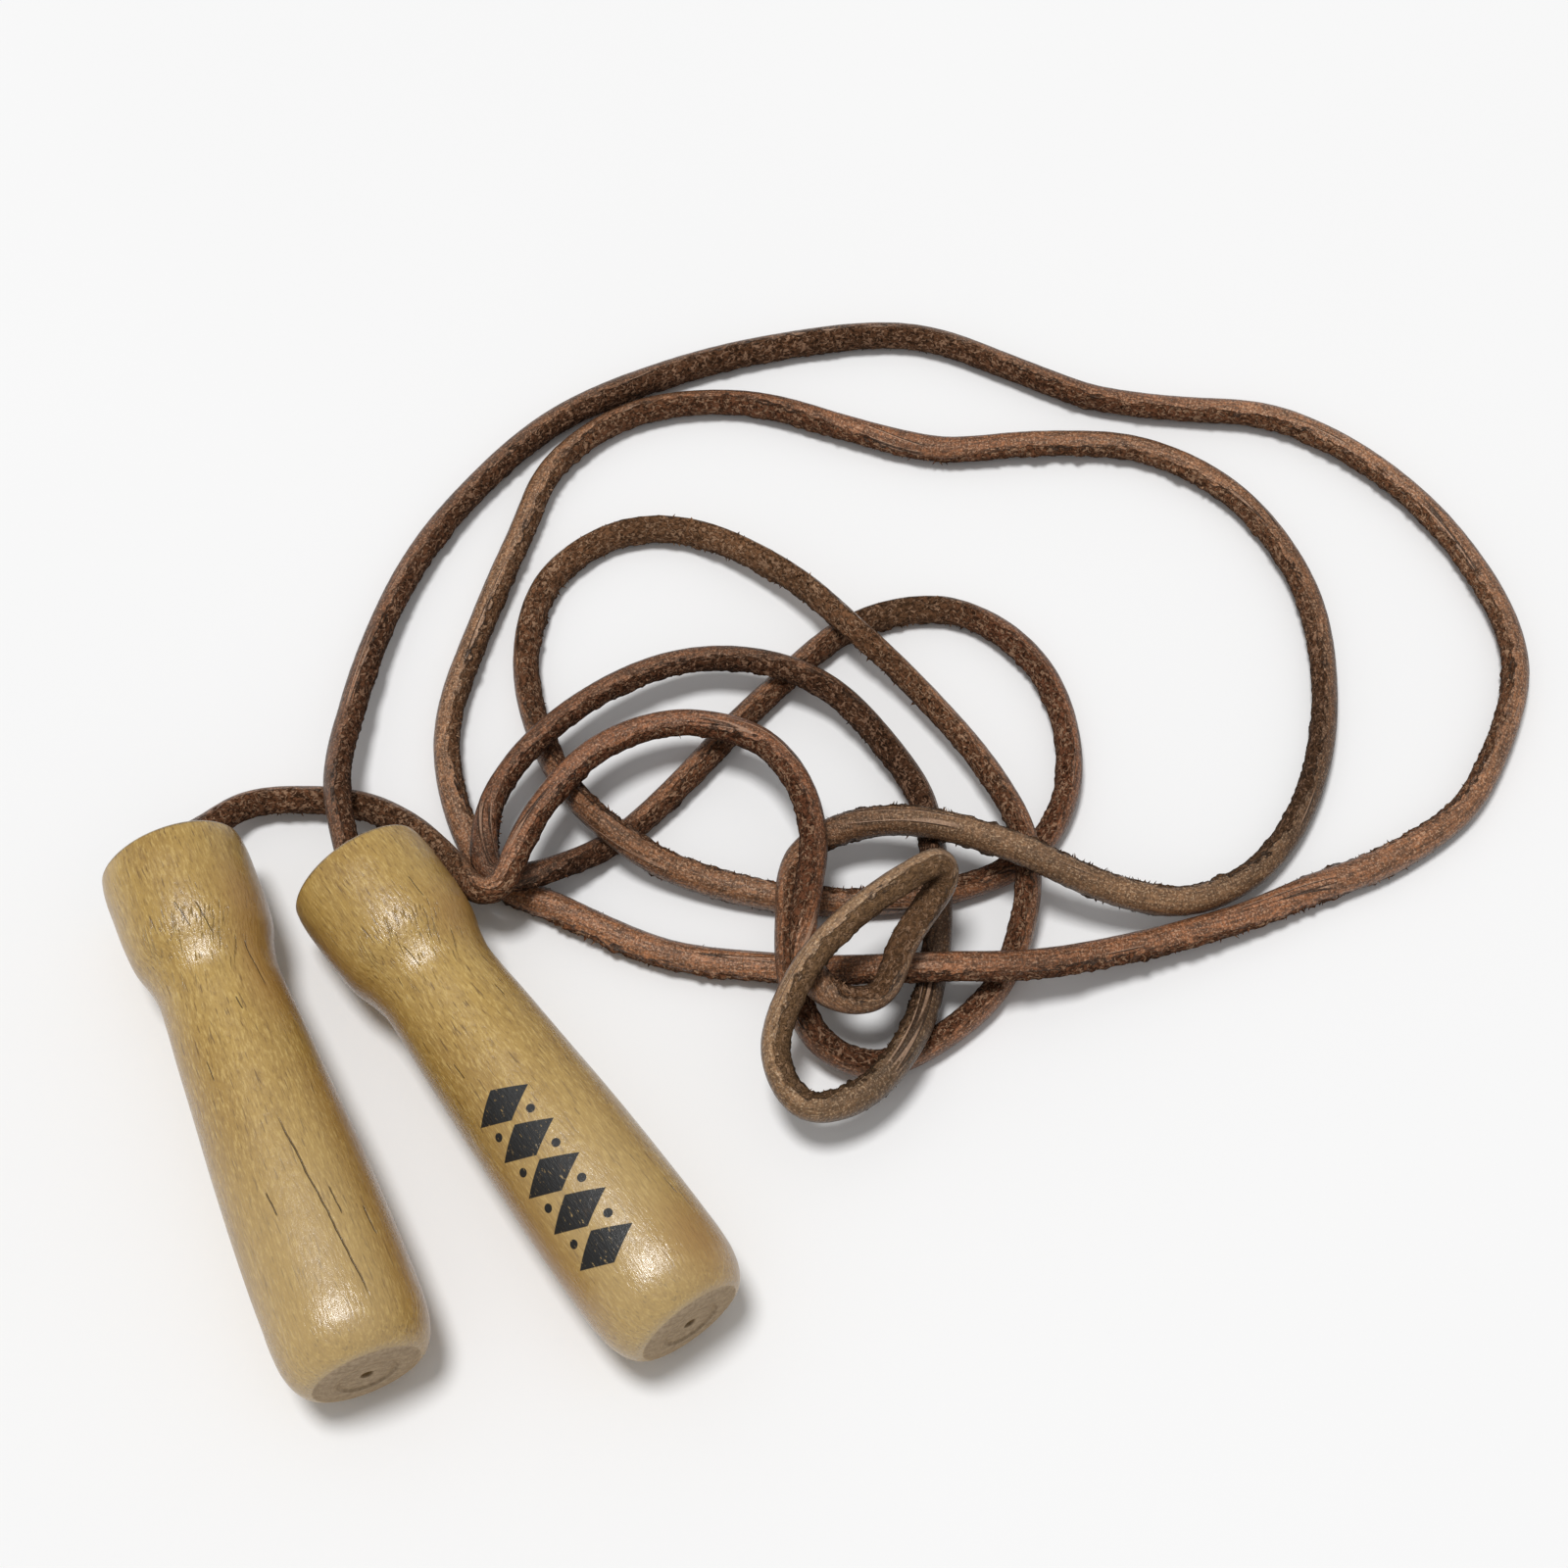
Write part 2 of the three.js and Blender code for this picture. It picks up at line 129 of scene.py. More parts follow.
# How the leather lies along the cord, from the right handle's end to the left one's: distance
# along it in mm, how far the middle of the grain side is turned from the camera's side towards
# the left of the way along, wear and painted light from 0, dark, to 1, pale, which is partly
# rubbed pale leather and partly painted highlight and shade, what the radius gains in mm, and
# colour from 0, reddish, to 1, olive tan.
LAY = [
    (0, 60, 0.36, 0, 0.2), (35, 80, 0.34, 0, 0.2), (110, 78, 0.34, 0.05, 0.2),
    (170, 84, 0.32, 0.1, 0.3), (205, 96, 0.32, 0.3, 0.3), (235, 116, 0.36, 0.3, 0.4),
    (290, 112, 0.38, 0.15, 0.4), (325, 84, 0.4, 0.05, 0.2), (350, 80, 0.56, 0, 0.1),
    (390, 66, 0.66, 0, 0.3), (425, 62, 0.7, 0, 0.3), (480, 58, 0.6, 0, 0.3),
    (520, 48, 0.6, 0.05, 0.3), (560, 5, 0.62, 0.05, 0.2), (600, -50, 0.66, 0.1, 0.1),
    (640, -64, 0.52, 0.25, 0.1), (680, -62, 0.5, 0.25, 0.1), (715, -45, 0.76, 0.1, 0.2),
    (775, -35, 0.74, 0.05, 0.2), (795, 10, 0.54, 0, 0.2), (830, 62, 0.66, 0, 0.5),
    (880, 70, 0.68, 0.05, 0.6), (915, 58, 0.62, 0, 0.5), (945, 104, 0.54, 0, 0.3),
    (980, 100, 0.44, 0.05, 0.1), (1010, 70, 0.56, 0.05, 0.1), (1032, 30, 0.58, 0, 0.1),
    (1052, 58, 0.56, 0, 0.1), (1085, 64, 0.66, 0, 0.3), (1150, 68, 0.5, 0, 0.3),
    (1190, 76, 0.24, 0, 0.5), (1235, 60, 0.26, 0, 0.8), (1258, 15, 0.52, 0, 0.8),
    (1325, 8, 0.46, 0, 0.8), (1350, 0, 0.24, 0.05, 0.6), (1375, -105, 0.56, 0.45, 0.2),
    (1420, -95, 0.4, 0.2, 0.1), (1450, -84, 0.5, 0, 0.1), (1500, -92, 0.56, -0.1, 0.1),
    (1545, -102, 0.64, -0.25, 0.3), (1600, -140, 0.72, -0.15, 0.6), (1655, -150, 0.72, 0, 0.6),
    (1705, -120, 0.54, 0, 0.3), (1745, -60, 0.46, 0, 0.2), (1776, -15, 0.42, 0, 0.3),
    (1808, -8, 0.78, 0, 0.4), (1840, -50, 0.54, 0, 0.2), (1880, -90, 0.5, 0, 0),
    (1950, -95, 0.46, 0, 0), (1968, -150, 0.5, 0, 0.6), (1984, -150, 0.46, 0, 0.6),
    (2000, -90, 0.5, 0, 0.2), (2060, -86, 0.5, 0, 0.2), (2085, -110, 0.2, -0.2, 0.2),
    (2112, -20, 0.2, -0.2, 0.1), (2135, 76, 0.42, -0.2, 0), (2200, 80, 0.3, -0.15, 0.2),
    (2240, 120, 0.3, 0, 0.3), (2290, 110, 0.18, 0, 0.3), (2320, 40, 0.16, 0.1, 0.8),
    (2370, 20, 0.3, 0.15, 1), (2392, 88, 0.84, 0.15, 1), (2450, 98, 0.88, 0.15, 1),
    (2475, 130, 0.66, 0.15, 0.8), (2500, 90, 0.6, 0, 0.7), (2530, -95, 0.48, 0.05, 0),
    (2560, -92, 0.5, 0.1, 0), (2600, -70, 0.62, 0.05, 0), (2640, -62, 0.68, 0, 0),
    (2672, -70, 0.62, 0, 0.1), (2690, -135, 0.6, 0.1, 0.5), (2730, -130, 0.52, 0.1, 0.3),
    (2806, -110, 0.52, 0, 0.2),
]

# Turned pieces: how fine their surfaces are, and how far their sharp corners are rounded.
HANDLE_SIDES = 240
HANDLE_STEP = 1.3 * MM
HANDLE_ROUNDING = 0.35 * MM
METAL_SIDES = 96
METAL_STEP = 1.0 * MM
METAL_ROUNDING = 0.22 * MM
SHARP_CORNER = 32             # a corner of an outline that turns more than this stays sharp
OUTLINE_SAMPLES = 7           # points on the curve between two corners of an outline

# Hairline cracks and nicks: from and to how far from the head in mm, at which angles from the
# top, and half their width in degrees.
HANDLE_MARKS = {
    "left": [
        (79, 131, 7, 24, 0.9), (97, 104, -20, -18, 0.7), (101, 109, 24, 26, 0.7),
        (107, 115, 45, 47, 0.8), (20, 28, -7, -3, 0.45), (33, 47, 39, 44, 0.7),
        (22, 31, 7, 13, 0.5), (60, 66, -32, -31, 0.6), (48, 52, 12, 13, 0.7),
    ],
    "right": [
        (16, 23, 22, 24, 0.5), (30, 37, -14, -12, 0.5), (50, 54, 34, 35, 0.6),
        (61, 66, -40, -39, 0.6), (112, 117, 46, 47, 0.6),
    ],
}

# Where old varnish has yellowed most: from and to how far from the head in mm, and between
# which angles from the top.
AMBER = {
    "left": [(14, 54, 30, 120), (70, 134, 52, 120)],
    "right": [(10, 46, -120, -66), (84, 128, -120, -56), (22, 34, 20, 90), (120, 138, 16, 90)],
}

# Dents of a handle, with their sizes and depths in mm.
DENT_COUNT = 26
DENT_SIZES = (0.8, 1.9)
DENT_DEPTHS = (0.04, 0.13)
RELIEF_RADIUS = 14 * MM       # nearer to its middle line a handle is even

# The ring that the lathe's centre has pressed into the flat of the butt.
BUTT_RING_SHARE = 0.54        # of the flat's radius
BUTT_RING_DEPTH = 0.16 * MM
BUTT_RING_BREADTH = 0.28 * MM


# ---- materials

class Nodes:
    """A material under construction; a value is a number, a tuple or another node's output."""

    def __init__(self, name):
        self.material = bpy.data.materials.new(name)
        self.material.use_nodes = True
        self.tree = self.material.node_tree
        self.shader = self.tree.nodes["Principled BSDF"]

    def node(self, kind, inputs=None, **settings):
        made = self.tree.nodes.new(kind)
        for key, value in settings.items():
            setattr(made, key, value)
        for key, value in (inputs or {}).items():
            self.set(made.inputs[key], value)
        return made

    def set(self, socket, value):
        if isinstance(value, bpy.types.NodeSocket):
            self.tree.links.new(value, socket)
        elif isinstance(value, tuple) and len(value) == 3 and socket.type == "RGBA":
            socket.default_value = (*value, 1.0)
        else:
            socket.default_value = value

    def surface(self, **inputs):
        """Sets inputs of the surface shader; an underscore in a name stands for a space."""
        for key, value in inputs.items():
            self.set(self.shader.inputs[key.replace("_", " ")], value)

    def attribute(self, name, output="Fac"):
        return self.node("ShaderNodeAttribute", attribute_name=name).outputs[output]

    def math(self, operation, *values):
        made = self.node("ShaderNodeMath", operation=operation)
        for socket, value in zip(made.inputs, values):
            self.set(socket, value)
        return made.outputs[0]

    def times(self, *values):
        made = values[0]
        for value in values[1:]:
            made = self.math("MULTIPLY", made, value)
        return made

    def hypotenuse(self, one, two):
        squares = self.math("ADD", self.times(one, one), self.times(two, two))
        return self.math("SQRT", squares)

    def scaled(self, vector, scale, shift=(0.0, 0.0, 0.0)):
        inputs = {"Vector": vector, "Scale": scale, "Location": shift}
        return self.node("ShaderNodeMapping", inputs).outputs["Vector"]

    def split(self, vector):
        return self.node("ShaderNodeSeparateXYZ", {"Vector": vector}).outputs

    def joined(self, x, y, z):
        inputs = {"X": x, "Y": y, "Z": z}
        return self.node("ShaderNodeCombineXYZ", inputs).outputs["Vector"]

    def noise(self, vector, scale=(1, 1, 1), shift=(0.0, 0.0, 0.0), detail=3.0,
              roughness=0.55, distortion=0.0):
        """Noise from 0 to 1 with scale waves a metre, or a unit, in each direction."""
        inputs = {"Vector": self.scaled(vector, scale, shift), "Scale": 1.0, "Detail": detail,
                  "Roughness": roughness, "Distortion": distortion}
        return self.node("ShaderNodeTexNoise", inputs).outputs["Fac"]

    def ramp(self, value, low, high, to_low=0.0, to_high=1.0, kind="SMOOTHSTEP"):
        """value taken from low..high to to_low..to_high and held outside it."""
        inputs = {"Value": value, "From Min": low, "From Max": high,
                  "To Min": to_low, "To Max": to_high}
        made = self.node("ShaderNodeMapRange", inputs, interpolation_type=kind)
        return made.outputs["Result"]

    def ridge(self, value, middle, outer, inner):
        """1 where value is within inner of middle, falling smoothly to 0 at outer."""
        off = self.math("ABSOLUTE", self.math("SUBTRACT", value, middle))
        return self.ramp(off, outer, inner)

    def mix(self, share, first, second, blend="MIX"):
        made = self.node("ShaderNodeMix", data_type="RGBA", blend_type=blend)
        colours = [socket for socket in made.inputs if socket.type == "RGBA"]
        self.set(made.inputs["Factor"], share)
        self.set(colours[0], first)
        self.set(colours[1], second)
        return [socket for socket in made.outputs if socket.type == "RGBA"][0]

    def shaded(self, colour, pattern, low, high, dark, pale, share=1.0):
        """colour times dark to pale where pattern is low to high, as far as share says."""
        strength = self.ramp(pattern, low, high, dark, pale)
        return self.mix(share, colour, strength, "MULTIPLY")

    def glance(self):
        """0 where the surface faces the camera, 1 where it is seen edge on."""
        return self.node("ShaderNodeLayerWeight", {"Blend": 0.5}).outputs["Facing"]

    def bump(self, height, distance, strength=1.0, normal=None):
        inputs = {"Height": height, "Distance": distance, "Strength": strength}
        if normal is not None:
            inputs["Normal"] = normal
        return self.node("ShaderNodeBump", inputs).outputs["Normal"]


def leather():
    """Vegetable-tanned leather: a satin grain side and a mottled, fibrous flesh side.

    The attribute lay runs along the cord in x and round it in y and z, with +y the middle of
    the grain side. The attributes wear and tan are those of the table LAY."""
    n = Nodes("leather")
    lay = n.attribute("lay", "Vector")
    wear = n.attribute("wear")
    tan = n.attribute("tan")
    contrast = n.ramp(tan, 0.3, 1.0, 1.0, 0.5)
    _, towards, _ = n.split(lay)
    wander = n.noise(lay, (300, 900, 900), detail=4)
    edge = n.math("ADD", n.math("DIVIDE", towards, CORD_RADIUS),
                  n.ramp(wander, 0.3, 0.7, -0.24, 0.24))
    flesh = n.ramp(edge, 0.26, 0.04)

    grain_colour, grain_height, mottle = grain_side(n, lay, wear, tan, contrast)
    flesh_colour, flesh_height = flesh_side(n, lay, wear, tan, contrast)
    colour = n.mix(flesh, grain_colour, flesh_colour)

    # Painted shade: a dark line in the crease where the two sides meet, in places; and slow
    # changes all along.
    seam_shade = n.times(n.ramp(edge, 0.32, 0.24), n.ramp(edge, 0.06, 0.16))
    patchy = n.ramp(n.noise(lay, (35, 0, 0), detail=2), 0.46, 0.56)
    colour = n.mix(n.times(seam_shade, patchy, 0.75), colour, (0.016, 0.008, 0.005))
    broad = n.noise(lay, (45, 90, 90), detail=2)
    colour = n.shaded(colour, broad, 0.3, 0.7, 0.86, 1.14)

    # Painted shade: the cord is darker towards its silhouettes and a little brighter where it
    # faces the camera.
    colour = n.shaded(colour, n.glance(), 0.35, 0.95, 1.12, 0.42)

    satin = n.ramp(mottle, 0.38, 0.62, 0.43, 0.25)
    relief = n.bump(grain_height, 0.36 * MM)
    relief = n.bump(n.times(flesh_height, flesh), 1.2 * MM, normal=relief)
    polish = n.times(n.ramp(flesh, 0.0, 1.0, 1.0, 0.0), n.ramp(wear, 0.45, 0.8, 0.0, 0.4))
    n.surface(Base_Color=colour, Roughness=n.ramp(flesh, 0.0, 1.0, satin, 0.92, "LINEAR"),
              Normal=relief, Coat_Weight=polish, Coat_Roughness=0.24, Coat_Normal=relief,
              Specular_IOR_Level=n.ramp(flesh, 0.0, 1.0, 0.52, 0.12),
              Specular_Tint=(1.0, 0.82, 0.66))
    return n.material


def grain_side(n, lay, wear, tan, contrast):
    """Colour, height and mottling of the grain side: fine mottling and streaks, creases along
    the cord with painted shade in them and painted highlights on their lips, pale rubbed specks
    and dark pits."""
    streaks = n.noise(lay, (190, 1400, 1400), roughness=0.6)
    mottle = n.noise(lay, (1150, 1600, 1600), roughness=0.7, distortion=0.4)
    ripples = n.noise(lay, (1700, 380, 380), detail=2, distortion=0.6)
    pits = n.noise(lay, (1700, 2100, 2100), (2.0, 7.0, 4.0), detail=2)
    slow = n.noise(lay, (9, 260, 260), (5.0, 1.0, 3.0), detail=1)
    opened = n.ramp(n.noise(lay, (28, 0, 0), (6.0, 0.0, 0.0), detail=2), 0.5, 0.58)
    crease = n.times(n.ridge(slow, 0.5, 0.014, 0.005), opened)
    lip_highlight = n.times(n.ridge(slow, 0.524, 0.018, 0.007), opened)

    # The wear value is partly real rubbing and partly painted highlight and shade along the cord.
    ruddy = n.mix(wear, (0.032, 0.011, 0.006), (0.252, 0.094, 0.037))
    olive = n.mix(wear, (0.024, 0.013, 0.007), (0.272, 0.154, 0.075))
    colour = n.mix(tan, ruddy, olive)
    colour = n.shaded(colour, mottle, 0.39, 0.61, 0.64, 1.38, contrast)
    colour = n.shaded(colour, streaks, 0.38, 0.62, 0.62, 1.42, contrast)
    colour = n.shaded(colour, ripples, 0.38, 0.62, 0.8, 1.2)
    specks = n.times(n.ramp(pits, 0.45, 0.36), n.ramp(wear, 0.1, 0.8, 0.3, 0.72))
    rubbed = n.mix(tan, (0.5, 0.28, 0.17), (0.52, 0.36, 0.22))
    colour = n.mix(specks, colour, rubbed)
    colour = n.mix(n.ramp(pits, 0.61, 0.71, 0.0, 0.36), colour, (0.02, 0.009, 0.005))
    # Painted highlight on the lips of the creases, and painted shade in the creases.
    colour = n.mix(n.times(lip_highlight, 0.5), colour, (0.5, 0.32, 0.22))
    colour = n.mix(n.times(crease, 0.85), colour, (0.016, 0.007, 0.004))

    height = n.math("ADD", n.math("SUBTRACT", mottle, n.times(crease, 1.2)),
                    n.times(ripples, 0.6))
    return colour, height, mottle


def flesh_side(n, lay, wear, tan, contrast):
    """Colour and height of the flesh side: dark matted fibres with pale worm-like flecks."""
    fibres = n.noise(lay, (900, 1350, 1350), detail=4, roughness=0.7, distortion=0.5)
    worms = n.noise(lay, (470, 700, 700), (3.0, 5.0, 1.0), detail=1, distortion=0.7)
    broken = n.noise(lay, (800, 800, 800), (1.0, 9.0, 6.0), detail=2)
    flecks = n.times(n.ridge(worms, 0.5, 0.08, 0.035), n.ramp(broken, 0.42, 0.52))

    # The wear value is partly real rubbing and partly painted highlight and shade along the cord.
    ruddy = n.mix(wear, (0.022, 0.009, 0.005), (0.195, 0.076, 0.037))
    olive = n.mix(wear, (0.02, 0.011, 0.006), (0.185, 0.105, 0.052))
    colour = n.mix(tan, ruddy, olive)
    colour = n.shaded(colour, fibres, 0.39, 0.61, 0.34, 1.78, contrast)
    pale = n.mix(wear, (0.24, 0.125, 0.078), (0.56, 0.345, 0.21))
    colour = n.mix(n.times(flecks, n.ramp(tan, 0.3, 1.0, 0.8, 0.36)), colour, pale)

    height = n.math("ADD", fibres, n.times(flecks, 0.5))
    return colour, height


def wood_nodes(name):
    """Nodes for varnished close-grained hardwood that carry the patterns its looks share.

    The attribute turned holds x and y across the handle and z along it. The attribute place
    holds the distance from the head, the way round from the top in degrees, towards the right
    of the way to the butt, and the distance from the middle line. The attribute end_grain is 1
    on the flat of the butt."""
    n = Nodes(name)
    n.turned = n.attribute("turned", "Vector")
    place = n.attribute("place", "Vector")
    n.distance, n.round_by, n.girth = n.split(place)
    n.end = n.attribute("end_grain")

    # Growth rings about a pith well outside the blank, and the streaks they leave.
    across, depth, _ = n.split(n.scaled(n.turned, (1, 1, 1), (0.031, 0.052, 0.0)))
    ring = n.math("ADD", n.times(n.hypotenuse(across, depth), 2600.0),
                  n.times(n.noise(n.turned, (30, 30, 5)), 9.0))
    n.late = n.ramp(n.math("SINE", ring), 0.35, 1.0)
    n.tone = n.noise(n.turned, (60, 60, 12), detail=4)
    n.streaks = n.noise(n.turned, (900, 900, 45), detail=4, roughness=0.6)
    n.dashes = n.noise(n.turned, (1700, 1700, 380), roughness=0.65)

    # Short drying checks on the shoulder of the head that lean a little from the grain.
    leaning = n.math("ADD", n.round_by, n.times(n.distance, 900.0))
    sheared = n.joined(n.times(leaning, 0.42), n.times(n.distance, 150.0),
                       n.times(n.girth, 90.0))
    n.split_wood = n.noise(sheared, detail=2, roughness=0.5)
    n.shoulder = n.times(n.ramp(n.distance, 17 * MM, 26 * MM),
                         n.ramp(n.distance, 46 * MM, 36 * MM), n.ridge(n.round_by, 0.0, 62, 34))
    n.checks = n.times(n.ramp(n.split_wood, 0.61, 0.7), n.shoulder)
    return n


def wood_grain(n):
    """Colour of the varnished wood, with painted light: a paler band along the top of the grip."""
    flecks = n.noise(n.turned, (1800, 1800, 150), (4.0, 2.0, 1.0), detail=1)
    brown = (0.3, 0.178, 0.052)
    colour = n.mix(n.ramp(n.tone, 0.34, 0.66), (0.378, 0.226, 0.056), (0.474, 0.304, 0.084))
    colour = n.mix(n.ramp(n.streaks, 0.42, 0.66, 0.0, 0.36), colour, brown)
    colour = n.mix(n.times(n.late, 0.1), colour, brown)
    colour = n.mix(n.ramp(n.dashes, 0.48, 0.36, 0.0, 0.5), colour, (0.665, 0.475, 0.17))
    colour = n.mix(n.ramp(n.dashes, 0.54, 0.66, 0.0, 0.52), colour, (0.225, 0.128, 0.036))
    colour = n.mix(n.ramp(flecks, 0.64, 0.71, 0.0, 0.7), colour, (0.13, 0.07, 0.022))
    # Painted light: the top of the grip, which faces the key light, is paler.
    painted_lit_top = n.times(n.ramp(n.distance, 55 * MM, 115 * MM), n.ridge(n.round_by, -10.0, 75, 20))
    return n.mix(n.times(painted_lit_top, 0.42), colour, (0.545, 0.4, 0.2))


def wood_stains_and_rim_shade(n, colour, stains):
    """Yellowed and browned stretches, painted shade along the rim round the head, and drying
    checks.
    """
    soft, soft_angle = 9, 22
    yellowed = n.ramp(n.tone, 0.25, 0.6, 0.42, 0.78)
    amber = n.mix(n.streaks, (0.375, 0.2, 0.056), (0.285, 0.142, 0.038))
    for start, finish, from_angle, to_angle in stains:
        along = n.times(n.ramp(n.distance, (start - soft) * MM, (start + soft) * MM),
                        n.ramp(n.distance, (finish + soft) * MM, (finish - soft) * MM))
        round_it = n.times(n.ramp(n.round_by, from_angle - soft_angle, from_angle + soft_angle),
                           n.ramp(n.round_by, to_angle + soft_angle, to_angle - soft_angle))
        colour = n.mix(n.times(along, round_it, yellowed), colour, amber)
    # Painted shade along the rim of the head's face.
    rim_shade = n.times(n.ramp(n.distance, 1.3 * MM, 0.5 * MM), n.ramp(n.tone, 0.35, 0.55), 0.7)
    colour = n.mix(rim_shade, colour, (0.085, 0.062, 0.04))
    return n.mix(n.times(n.checks, 0.42), colour, (0.15, 0.084, 0.03))


def bare_butt(n, colour):
    """The butt's bare end grain: greyer, with the turning rings of the lathe tool."""
    bare = n.mix(n.ramp(n.streaks, 0.35, 0.65), (0.33, 0.234, 0.137), (0.445, 0.328, 0.207))
    bare = n.mix(n.times(n.late, 0.26), bare, (0.22, 0.145, 0.08))
    tool = n.math("SINE", n.times(n.girth, 9000.0))
    bare = n.mix(n.ramp(tool, 0.2, 1.0, 0.0, 0.16), bare, (0.18, 0.11, 0.05))
    return n.mix(n.end, colour, bare)


def crack_lines(n, cracks):
    """1 on the hairline cracks of the handle's row in HANDLE_MARKS, and 0 beside them."""
    found = 0.0
    wiggle = n.ramp(n.noise(n.turned, (60, 60, 160)), 0.2, 0.8, -0.6, 0.6)
    for start, finish, from_angle, to_angle, width in cracks:
        line = n.ramp(n.distance, start * MM, finish * MM, from_angle, to_angle, "LINEAR")
        off = n.math("ADD", n.math("SUBTRACT", n.round_by, line), wiggle)
        near = n.ramp(n.math("ABSOLUTE", off), width, width * 0.25)
        taper = 0.14 * (finish - start) * MM
        inside = n.times(n.ramp(n.distance, start * MM, start * MM + taper),
                         n.ramp(n.distance, finish * MM, finish * MM - taper))
        found = n.math("MAXIMUM", found, n.times(near, inside))
    return found


def varnished(n, colour, ink, crack):
    """Puts painted shade towards the silhouettes, grime and varnish on the wood, and its relief,
    and gives the material.
    """
    # Painted shade: the wood is darker and more amber towards its silhouettes.
    colour = n.mix(n.ramp(n.glance(), 0.4, 0.95), colour, (0.84, 0.78, 0.64), "MULTIPLY")
    grime = n.noise(n.turned, (160, 160, 110), detail=5, roughness=0.65)
    colour = n.mix(n.ramp(grime, 0.6, 0.78, 0.0, 0.3), colour, (0.215, 0.125, 0.052))

    dull = n.math("MAXIMUM", n.end, n.times(ink, 0.6))
    smears = n.ramp(n.noise(n.turned, (120, 120, 60), detail=4), 0.3, 0.7, 0.24, 0.38)
    pores = n.math("SUBTRACT", n.times(n.streaks, 0.5), n.times(n.dashes, 1.5))
    worn = n.math("ADD", n.times(n.split_wood, 0.3), n.checks)
    relief = n.bump(pores, 0.12 * MM)
    relief = n.bump(n.times(worn, n.shoulder, -1.0), 0.25 * MM, normal=relief)
    relief = n.bump(n.times(crack, -1.0), 0.3 * MM, normal=relief)
    n.surface(Base_Color=colour, Roughness=n.ramp(dull, 0.0, 1.0, smears, 0.75, "LINEAR"),
              Normal=relief, Coat_Normal=relief, Coat_Roughness=0.13,
              Coat_Weight=n.ramp(dull, 0.0, 1.0, 0.39, 0.0))
    return n.material


def wood(name, cracks, stains, stamped):
    n = wood_nodes(name)
    colour = bare_butt(n, wood_stains_and_rim_shade(n, wood_grain(n), stains))
    crack = crack_lines(n, cracks)
    colour = n.mix(n.times(crack, 0.8), colour, (0.06, 0.032, 0.014))
    ink = stamp(n) if stamped else 0.0
    colour = n.mix(ink, colour, (0.004, 0.004, 0.004))
    return varnished(n, colour, ink, crack)


def stamp(n):
    """A plain row of five solid diamonds with dots between them, in worn black ink on the grip."""
    diamonds, pitch = 5, 10.4 * MM
    middle, top = 98.0 * MM, -26.0
    grip_radius = 17.4 * MM
    half_long, half_wide = 4.6 * MM, 8.2 * MM
    dot_off, dot_radius, dot_edge = 5.2 * MM, 1.0 * MM, 1.15 * MM

    arc = n.times(n.math("SUBTRACT", n.round_by, top), math.radians(1) * grip_radius)
    along = n.math("SUBTRACT", n.distance, middle)
    beyond = (diamonds / 2 + 3) * pitch     # keeps the way along the row positive
    cell = n.math("MODULO", n.math("ADD", along, beyond), pitch)
    off_cell = n.math("ABSOLUTE", n.math("SUBTRACT", cell, pitch / 2))
    off_row = n.math("ABSOLUTE", arc)
    slant = n.math("ADD", n.math("DIVIDE", off_cell, half_long),
                   n.math("DIVIDE", off_row, half_wide))
    to_dot = n.hypotenuse(n.math("SUBTRACT", pitch / 2, off_cell),
                          n.math("SUBTRACT", off_row, dot_off))
    off = n.math("ABSOLUTE", along)
    diamond = n.times(n.ramp(slant, 1.02, 0.97),
                      n.ramp(off, (diamonds / 2 + 0.02) * pitch, diamonds / 2 * pitch))
    dot = n.times(n.ramp(to_dot, dot_edge, dot_radius),
                  n.ramp(off, (diamonds / 2 - 0.48) * pitch, (diamonds / 2 - 0.5) * pitch))
    worn = n.noise(n.turned, (1700, 1700, 500), detail=4, roughness=0.7)
    return n.times(n.math("MAXIMUM", diamond, dot), n.ramp(worn, 0.7, 0.6, 0.15, 1.0))


def steel(name, colour, roughness, tarnish):
    """Turned or ground steel with fine tool marks round it and a little tarnish."""
    n = Nodes(name)
    turned = n.attribute("turned", "Vector")
    across, depth, along = n.split(turned)
    marks = n.noise(n.joined(n.hypotenuse(across, depth), 0.0, along), (3600, 0, 3600),
                    detail=4, roughness=0.7)
    stain = n.noise(turned, (130, 130, 130), detail=6, roughness=0.65)
    aged = n.ramp(n.math("ADD", stain, n.ramp(marks, 0.3, 0.7, -0.04, 0.04)),
                  0.42, 0.74, 0.0, tarnish)
    tint = n.mix(aged, colour, (0.115, 0.085, 0.06))
    rough = n.math("ADD", n.ramp(marks, 0.3, 0.7, roughness * 0.8, roughness * 1.25),
                   n.times(aged, 0.3))
    n.surface(Base_Color=tint, Metallic=n.ramp(aged, 0.2, 1.0, 1.0, 0.55), Roughness=rough,
              Normal=n.bump(marks, 0.05 * MM, 0.8))
    return n.material


def pale_floor():
    n = Nodes("pale_floor")
    position = n.node("ShaderNodeNewGeometry").outputs["Position"]
    clouds = n.noise(position, (3, 3, 3), detail=2)
    n.surface(Base_Color=n.mix(clouds, (0.88, 0.88, 0.88), (0.92, 0.92, 0.92)), Roughness=0.8,
              Specular_IOR_Level=0.1)
    return n.material


# ---- reading the frame

def merged(points, edges, step):
    """Which points are kept when doubles within a step become one, and the edges between them."""
    _, kept, place = np.unique(
        np.round(points / step), axis=0, return_index=True, return_inverse=True)
    edges = np.unique(np.sort(place.ravel()[edges], axis=1), axis=0)
    return kept, edges[edges[:, 0] != edges[:, 1]]


